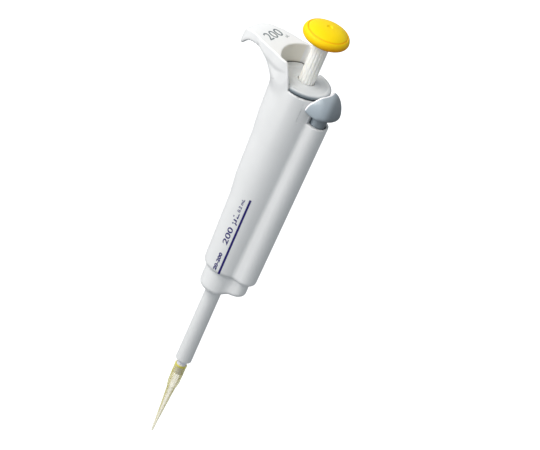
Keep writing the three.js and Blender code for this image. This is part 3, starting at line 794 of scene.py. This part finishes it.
def make_button():
    """The button, with a groove round its top and a dimple in the middle of it."""
    z = BUTTON_LOW[2]
    outline = [
        *smooth_line([(5.2, z + 0.5), (8, z + 0.15), (11, z + 0.6), (13.2, z + 1.7), (14.3, z + 3.0),
                      (14.5, z + 4.3), (14.2, z + 5.6), (13.5, z + 6.7), (12.75, z + 7.3)], 7),
        *smooth_line([(12.55, z + 7.25), (GROOVE_R, z + 7.1), (12.25, z + 7.2), (11.9, z + 7.65),
                      (10, z + 8.8), (7, z + 9.85), (3.5, z + 10.4), (2.5, z + 10.5), (1.9, z + 10.58)], 6),
        (1.55, z + 10.3), (1.2, z + 9.95), (0, z + 9.85),
        (0, z + 9), (2.7, z + 8.8), (2.7, z + 0.5),
    ]
    button = turned("push_button_skin", np.array(outline), YELLOW, 160)
    paint(button, button_tint)
    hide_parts("push_button")
    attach(button, "knob")


# ---------------------------------------------------------------- tip ejector

PAD_INNER_R = 17.2
# An upright cut of the dome is an ellipse of this power, where 2 would be a true one, and is at least
# this wide and high.
DOME_POWER = 1.95
DOME_LEAST = 0.4
SOCKET_DEPTH = 6
# Three lines round the pad, each as (degrees from the front, value): how far out its lower edge
# reaches, the height of its upper edge, and the height of its lower edge.
PAD_REACH = smooth_line([(0, 28), (7, 27.8), (14, 27.1), (24, 25.3), (32, 22.7), (38, 20.7), (42, 19.4),
                         (46, 18.4), (50, 18)], 4)
PAD_CREST = smooth_line([(0, 261.3), (18, 261.2), (25, 260.5), (31, 259.2), (36.5, 257.6), (41, 256.3),
                         (43.5, 254.6), (45.5, 251.5), (47.5, 244)], 4)
PAD_FOOT = smooth_line([(0, 248.6), (24, 248.7), (32, 248.8), (42, 249.6), (48, 250.6)], 4)


def pad_lines(x, y):
    degrees = np.degrees(np.arctan2(np.abs(y), x))
    return [np.interp(degrees, line[:, 0], line[:, 1]) for line in (PAD_REACH, PAD_CREST, PAD_FOOT)]


def pad_dome(x, y, z, inset=0.0):
    """The pad's outer surface, a quarter of an ellipse in each upright cut through the axis."""
    reach, crest, foot = pad_lines(x, y)
    wide = np.maximum(reach - PAD_INNER_R, DOME_LEAST)
    high = np.maximum(crest - foot, DOME_LEAST)
    out = np.maximum(np.hypot(x, y) + inset - PAD_INNER_R, 0) / wide
    up = np.maximum(z + inset - foot, 0) / high
    return ((out ** DOME_POWER + up ** DOME_POWER) ** (1 / DOME_POWER) - 1) * np.minimum(wide, high)


def pad_field(x, y, z):
    """The thumb pad: a hollow hood over its stem, whose foot takes the ejector's rod."""
    outer_wall, inner_wall, stem_top = 2.0, 1.7, 247.5
    rho = np.hypot(x, y)
    foot = pad_lines(x, y)[2]
    hood = smooth_max(pad_dome(x, y, z), PAD_INNER_R - rho, 0.9)
    hood = smooth_max(hood, foot - z, 1.8)
    hollow = np.maximum(pad_dome(x, y, z, outer_wall), PAD_INNER_R + inner_wall - rho)
    hood = smooth_max(hood, -hollow, 0.5)
    stem = np.maximum(pad_dome(x, y, z, 1), PAD_LOW[2] - z)
    stem = np.maximum(stem, np.hypot(x - STEM_X + 0.1, y) - (PAD_STEM_R - 0.05))
    stem = np.where(z > stem_top, np.maximum(stem, PAD_INNER_R - rho), stem)
    form = smooth_min(hood, smooth_max(stem, PAD_LOW[2] - z, 1), 0.6)
    socket = np.maximum(np.hypot(x - ROD_X, y) - ROD_HOLE_R, z - PAD_LOW[2] - SOCKET_DEPTH)
    return np.maximum(form, -socket)


def pad_tint(x, y, z):
    """Painted light and shade on the pad: a painted highlight along its inner rim, a lighter side towards
    the lamps, and painted shade on the side along RIGHT and at its lower edge.
    """
    foot = pad_lines(x, y)[2]
    # The pale band is a painted highlight on the inner rim's fillet.
    rim = step01(1.5, 1.0, np.hypot(x, y) - PAD_INNER_R) * (z > foot + 1)
    across = RIGHT.x * x + RIGHT.y * y
    shade = lerp(1.24, 0.62, step01(17.5, 22, across))
    shade = shade * (1 - 0.4 * step01(13, 17, across) * step01(foot + 3.5, foot, z))
    return shade[:, None] * (1 + rim[:, None] * (1.8, 1.4, 1.2))


def collar_field(x, y, z):
    """The collar: a cup that fits up into the handle, with a floor and a nose for the rod's clip."""
    bore_r, clip_x, clip_r, nose_x = 8.9, 15, 2.9, 12.5
    rho = np.hypot(x, y)
    low, high = COLLAR_LOW[2], COLLAR_HIGH[2]
    foot = low + 3.4 * step01(5.5, nose_x, x) + 0.3 * np.maximum(x - nose_x, 0)
    form = smooth_max(smooth_max(collar_outline(x, y), foot - z, 3.2), z - high, 0.6)
    room = np.maximum(np.minimum(rho - bore_r, np.hypot(x - clip_x, y) - clip_r), low + 7 - z)
    form = np.maximum(form, -np.minimum(room, np.maximum(rho - bore_r, low + 2.7 - z)))
    return smooth_max(form, SLEEVE_HIGH[0] - 1.5 - rho, 0.4)


def make_ejector():
    # The crest is a little higher than the CAD's.
    pad = skin("ejector_pad_skin", pad_field, PAD_LOW, PAD_HIGH + (0, 0, 2.5), 0.35, PAD_GREY)
    paint(pad, pad_tint)
    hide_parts("ejector_button")
    collar = skin("ejector_collar_skin", collar_field, COLLAR_LOW, COLLAR_HIGH, 0.4, WHITE)
    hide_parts("ejector_collar")
    z0, z1 = SLEEVE_LOW[2], SLEEVE_HIGH[2]
    sleeve = turned("ejector_sleeve_skin", rounded([
        (3.35, z0, 0.3), (4.9, z0, 1.6), (4.9, z1 - 2, 0.2), (6.6, z1 - 2, 0.2), (6.6, z1, 0.2),
        (4.2, z1, 0.2), (4.2, z0 + 3.6, 0.3), (3.35, z0 + 2.8, 0.3)], 0.3), WHITE, 96)
    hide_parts("ejector_sleeve")
    for piece, slot in ((pad, "pad_grey"), (collar, "body_white"), (sleeve, "body_white")):
        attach(piece, "ejector")


# ---------------------------------------------------------------- liquid end

def make_tip():
    """The tip is one thin wall: its outside with twelve short ribs under the rim, and its bore."""
    rim, top = TIP_HIGH[0], TIP_HIGH[2]
    ribs, rib, segments = 12, 0.3, 96

    def relief(angle, z):
        phase = ribs * angle / (2 * math.pi)
        from_rib = np.abs(phase - np.round(phase))
        return rib * step01(0.3, 0.12, from_rib) * step01(34.4, 37, z) * step01(45.6, 45.0, z)

    outside = [(0.5, 0), (0.85, 6.8), (1.3, 13.6), (1.72, 20.4), (2.2, 27.2), (2.62, 33.4), (2.98, 34.0),
               (3.05, 34.4), (3.12, 35.6), (3.2, 37), (3.35, 44.9), (3.6, 45.7), (3.66, 48.4), (rim, 48.9),
               (rim, 49.6), (rim - 0.12, top)]
    inside = [(3.12, top), (3.03, 49.6), (2.88, 43.5), (2.3, 34), (1.75, 27.2), (0.85, 13.6), (0.25, 0)]
    bore_starts = len(outside)
    rim_starts = bore_starts - 3

    tip = turned("tip_skin", np.array(outside + inside), TIP, segments, relief)
    tip.data.materials.append(TIP_BORE)
    tip.data.materials.append(TIP_RIM)
    for k, polygon in enumerate(tip.data.polygons):
        ring = k // segments
        if ring >= bore_starts:
            polygon.material_index = 1
        elif ring >= rim_starts:
            polygon.material_index = 2
    paint(tip, tip_tint)
    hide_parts("tip")
    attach(tip, "tip")


def tip_tint(x, y, z):
    """Bluer, so paler, towards the tip's thin end, and lighter at the very end."""
    thin = step01(36, 20, z)[:, None]
    end = step01(14, 2, z)[:, None]
    return (1 - thin * (0.04, 0.05, -0.25)) * (1 - end * (-0.02, -0.06, -0.7))


def make_nozzle():
    """The nozzle shaft, as an outline of (r, z, corner radius): its lower part goes into the tip."""
    z1 = NOZZLE_HIGH[2]
    outline = [(0.8, 43.5, 0.1), (2.75, 43.5, 0.3), (2.94, 51, 0.5), (3, 60, 1), (3.8, 64, 1),
               (3.8, 113, 1), (7.2, 117, 0.5), (7.2, 133, 0.2), (8.5, 133, 0.3), (8.5, 136.2, 0.3),
               (7.2, 136.2, 0.2), (7.2, z1, 0.5), (5.6, z1, 0.3), (5.6, 118, 0.2), (2.3, 118, 0.2),
               (2.3, 72, 0.2), (0.8, 70, 0.2)]
    nozzle = turned("nozzle_shaft_skin", rounded(outline, 0.2), SHAFT, 96)
    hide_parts("nozzle_shaft")
    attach(nozzle, "root")


# ---------------------------------------------------------------- springs

def make_springs():
    """Three springs, each as long as its CAD node; wire is the radius of its wire."""
    for name, node, body, joint, travel, wire, turns in (
        ("piston_spring_coil", "piston_spring", "blowout", "plunger_press", 16, 0.42, 15),
        ("blowout_spring_coil", "blowout_spring", "root", "blowout_press", 3, 0.8, 4.5),
        ("ejector_spring_coil", "ejector_spring", "root", "ejector_press", 6, 0.3, 13),
    ):
        low, high = box_mm(node)
        x = (low[0] + high[0]) / 2
        radius = (high[0] - low[0]) / 2 - wire
        spring = coil(name, radius, wire, low[2], high[2], turns, SPRING, x)
        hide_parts(node)
        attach(spring, body)
        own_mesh(spring)


# ---------------------------------------------------------------- print and figures

def lettering(name, text, width, height, weight, material, place, lift=0.06):
    """Text as thin raised print, width by height mm. place(points, lift) puts flat points in 3-D.

    weight makes the strokes bolder."""
    curve = bpy.data.curves.new(name, "FONT")
    curve.body = text
    curve.offset = weight
    curve.resolution_u = 6
    holder = bpy.data.objects.new(name + "_flat", curve)
    bpy.context.scene.collection.objects.link(holder)
    flat = holder.to_mesh().copy()
    bpy.data.objects.remove(holder)
    bpy.data.curves.remove(curve)
    points = np.array([v.co[:2] for v in flat.vertices])
    faces = [tuple(p.vertices) for p in flat.polygons]
    bpy.data.meshes.remove(flat)
    low, high = points.min(0), points.max(0)
    points = (points - (low + high) / 2) / (high - low) * (width, height)
    edges = {(a, b) for face in faces for a, b in zip(face, face[1:] + face[:1])}
    count = len(points)
    sides = [(a, a + count, b + count, b) for a, b in sorted(edges) if (b, a) not in edges]
    back = [tuple(i + count for i in face[::-1]) for face in faces]
    both = np.concatenate([place(points, lift), place(points, -lift)])
    return crisp(add_mesh(name, both, faces + back + sides, material), 30)


def on_handle(angle, z0):
    """Places flat text on the handle's side: its x runs up the handle, its y round it."""
    def place(points, lift):
        z = z0 + points[:, 0]
        r = handle_radius(np.cos(angle), np.sin(angle), z)
        a = angle - points[:, 1] / r
        r = handle_radius(np.cos(a), np.sin(a), z) + lift
        return np.stack([r * np.cos(a), r * np.sin(a), z], axis=1)
    return place


def on_hook(x0, y0):
    """Places flat text on the hook's top: its x runs along Y, its y towards -X."""
    def place(points, lift):
        height = np.full(len(points), HOOK_TOP_Z + lift)
        return np.stack([x0 - points[:, 1], y0 + points[:, 0], height], axis=1)
    return place


def side_line():
    """The plain line up the handle's side, as a thin band that stands out a little."""
    points, faces = [], []
    rows = np.linspace(123.6, 179, 60)
    middle, half_width = math.radians(-72), 0.65
    for lift in (0.06, -0.1):
        for z in rows:
            r = float(handle_radius(math.cos(middle), math.sin(middle), z))
            for offset in (-half_width, half_width):
                a = middle + offset / r
                points.append(((r + lift) * math.cos(a), (r + lift) * math.sin(a), z))
    count = len(rows)
    for i in range(count - 1):
        a, b = 2 * i, 2 * (count + i)
        faces += [(a, a + 1, a + 3, a + 2), (b, b + 2, b + 3, b + 1), (a, a + 2, b + 2, b),
                  (a + 1, b + 1, b + 3, a + 3)]
    end = 2 * (count - 1)
    faces += [(0, 2 * count, 2 * count + 1, 1), (end, end + 1, end + 2 * count + 1, end + 2 * count)]
    return crisp(add_mesh("side_line", points, faces, INK), 30)


def make_print():
    prints = [
        lettering("hook_volume", "200", 14.2, 6.9, 0.002, GREY_INK, on_hook(-31.4, 0), 0.05),
        lettering("hook_unit", "µL", 2.8, 2.6, 0.0, GREY_INK, on_hook(-26.2, 7.6), 0.05),
    ]
    beside = math.radians(-88)
    for name, text, length, height, weight, middle in (
        ("side_volume", "200 µL", 23, 4.4, 0.012, 155.3),
        ("side_range", "20-200", 12.4, 2.3, 0.045, 131),
        ("side_millilitres", "0.2 mL", 9.6, 2, 0.02, 172.6),
    ):
        prints.append(lettering(name, text, length, height, weight, INK, on_handle(beside, middle)))
    for piece in (*prints, side_line()):
        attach(piece, "root")


def make_counter():
    """Drums with ten figures each, the ones at the bottom; the window shows 2, 0 and 0."""
    for node, body, shown in (("ones_drum", "counter_ones", 0), ("tens_drum", "counter_tens", 0),
                              ("hundreds_drum", "counter_hundreds", 2)):
        low, high = box_mm(node)
        r, z0, z1 = high[0], low[2], high[2]
        drum = turned(node + "_skin", rounded([
            (7.1, z0), (r, z0, 0.4), (r, z1, 0.4), (r - 1.4, z1), (r - 1.4, z0 + 2), (8.4, z0 + 2),
            (8.4, z1), (7.1, z1)], 0.2), DRUM, 96)
        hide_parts(node)
        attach(drum, body)
        for figure in range(10):
            angle = math.pi / 2 + 2 * math.pi * (figure - shown) / 10

            def place(points, lift, angle=angle):
                a = angle + points[:, 0] / r
                return np.stack([(r + lift) * np.cos(a), (r + lift) * np.sin(a),
                                 (z0 + z1) / 2 + points[:, 1]], axis=1)

            label = lettering(f"{node}_figure_{figure}", str(figure), 1.9 if figure == 1 else 2.6, 3.9, 0.0,
                              FIGURES, place, 0.04)
            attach(label, body)


# ---------------------------------------------------------------- carried CAD nodes

def dress_nodes():
    """Each node gets its slot's material, or a plain one where the slot's own needs a painted piece."""
    finish = {
        "inner_grey": INNER, "steel": STEEL, "rubber": RUBBER, "seal_white": SEAL, "drum_black": DRUM,
        "body_white": WHITE, "cap_grey": WHITE, "pad_grey": INNER, "button_yellow": INNER,
        "stem_ivory": IVORY, "shaft_white": SHAFT, "tip_yellow": TIP_BORE, "clear_window": WINDOW,
    }
    slots = {s["node"]: s["material_slot"] for s in frame["record"]["subparts"]}
    for node, piece in frame["nodes"].items():
        piece.data.materials.clear()
        piece.data.materials.append(finish[slots[node]])


# ---------------------------------------------------------------- stage, light and camera

CAMERA_DISTANCE = 10.0
WIDTH_AT_OBJECT = 0.3176
SENSOR_WIDTH = 36
LIGHT_DISTANCE = 1.6
LIGHT_SIZE = 1.1
LIGHT_COLOR = (1, 0.97, 0.94)
# How bright the sky is towards the picture's left and right, and how much of it is left overhead.
SKY_LEFT = 0.98
SKY_RIGHT = 0.46
SKY_OVERHEAD = 0.62
SKY_COLOR = (0.92, 0.98, 1.02, 1)
# The floor lies far below, so that it doesn't hide the object from a camera that looks up.
FLOOR_Z = -6
FLOOR_HALF = 60


def make_camera():
    data = bpy.data.cameras.new("camera")
    data.sensor_width = SENSOR_WIDTH
    data.lens = SENSOR_WIDTH * CAMERA_DISTANCE / WIDTH_AT_OBJECT
    data.clip_end = 100
    camera = bpy.data.objects.new("camera", data)
    bpy.context.scene.collection.objects.link(camera)
    turn = Matrix((IMAGE_RIGHT, IMAGE_UP, BACK)).transposed().to_4x4()
    camera.matrix_world = Matrix.Translation(AIM + BACK * CAMERA_DISTANCE) @ turn
    bpy.context.scene.camera = camera


def area_light(name, direction, power):
    data = bpy.data.lights.new(name, "AREA")
    data.shape = "DISK"
    data.size = LIGHT_SIZE
    data.energy = power
    data.color = LIGHT_COLOR
    light = bpy.data.objects.new(name, data)
    bpy.context.scene.collection.objects.link(light)
    direction = direction.normalized()
    light.matrix_world = (Matrix.Translation(AIM + direction * LIGHT_DISTANCE)
                          @ direction.to_track_quat("Z", "Y").to_matrix().to_4x4())


def make_lights():
    towards_camera = Vector((BACK.x, BACK.y, 0)).normalized()
    area_light("key", -RIGHT * 0.76 + towards_camera * 0.65 + Vector((0, 0, 1.05)), 13.9)
    area_light("side", -RIGHT + towards_camera * 0.15 + Vector((0, 0, 0.8)), 8.2)


def make_floor():
    """A floor that the camera sees as plain white."""
    material, tree, shader = new_material("floor")
    seen = add_node(tree, "LightPath", {}).outputs["Is Camera Ray"]
    feed(tree, shader, {
        "Base Color": (0.5, 0.5, 0.5, 1),
        "Roughness": 0.9,
        "Emission Color": (1, 1, 1, 1),
        "Emission Strength": seen,
    })
    mesh = bpy.data.meshes.new("floor")
    corners = [(i * FLOOR_HALF, j * FLOOR_HALF, FLOOR_Z) for i, j in ((-1, -1), (1, -1), (1, 1), (-1, 1))]
    mesh.from_pydata(corners, [], [(0, 1, 2, 3)])
    mesh.materials.append(material)
    floor = bpy.data.objects.new("floor", mesh)
    bpy.context.scene.collection.objects.link(floor)


def make_world():
    """A soft sky, brighter at the picture's left, with a plain white backdrop for the camera."""
    world = bpy.data.worlds.new("studio")
    world.use_nodes = True
    tree = world.node_tree
    place = add_node(tree, "TexCoord", {}).outputs["Generated"]
    across = add_node(tree, "VectorMath", {0: place, 1: RIGHT}, operation="DOT_PRODUCT").outputs["Value"]
    across = add_node(tree, "MapRange", {
        "Value": across, "From Min": -1, "To Min": SKY_LEFT, "To Max": SKY_RIGHT}).outputs["Result"]
    height = add_node(tree, "SeparateXYZ", {"Vector": place}).outputs["Z"]
    overhead = spread(tree, height, 1, SKY_OVERHEAD)
    strength = add_node(tree, "Math", {0: across, 1: overhead}, operation="MULTIPLY").outputs["Value"]
    sky = tree.nodes["Background"]
    feed(tree, sky, {"Color": SKY_COLOR, "Strength": strength})
    white = add_node(tree, "Background", {"Color": (1, 1, 1, 1)}).outputs["Background"]
    seen = add_node(tree, "LightPath", {}).outputs["Is Camera Ray"]
    both = {"Fac": seen, 1: sky.outputs["Background"], 2: white}
    shown = add_node(tree, "MixShader", both).outputs["Shader"]
    feed(tree, tree.nodes["World Output"], {"Surface": shown})
    bpy.context.scene.world = world


bpy.context.scene.view_settings.view_transform = "Standard"
make_camera()
make_lights()
make_floor()
make_world()
dress_nodes()
make_handle()
make_cap()
make_stem()
make_button()
make_ejector()
make_nozzle()
make_tip()
make_springs()
make_counter()
make_print()
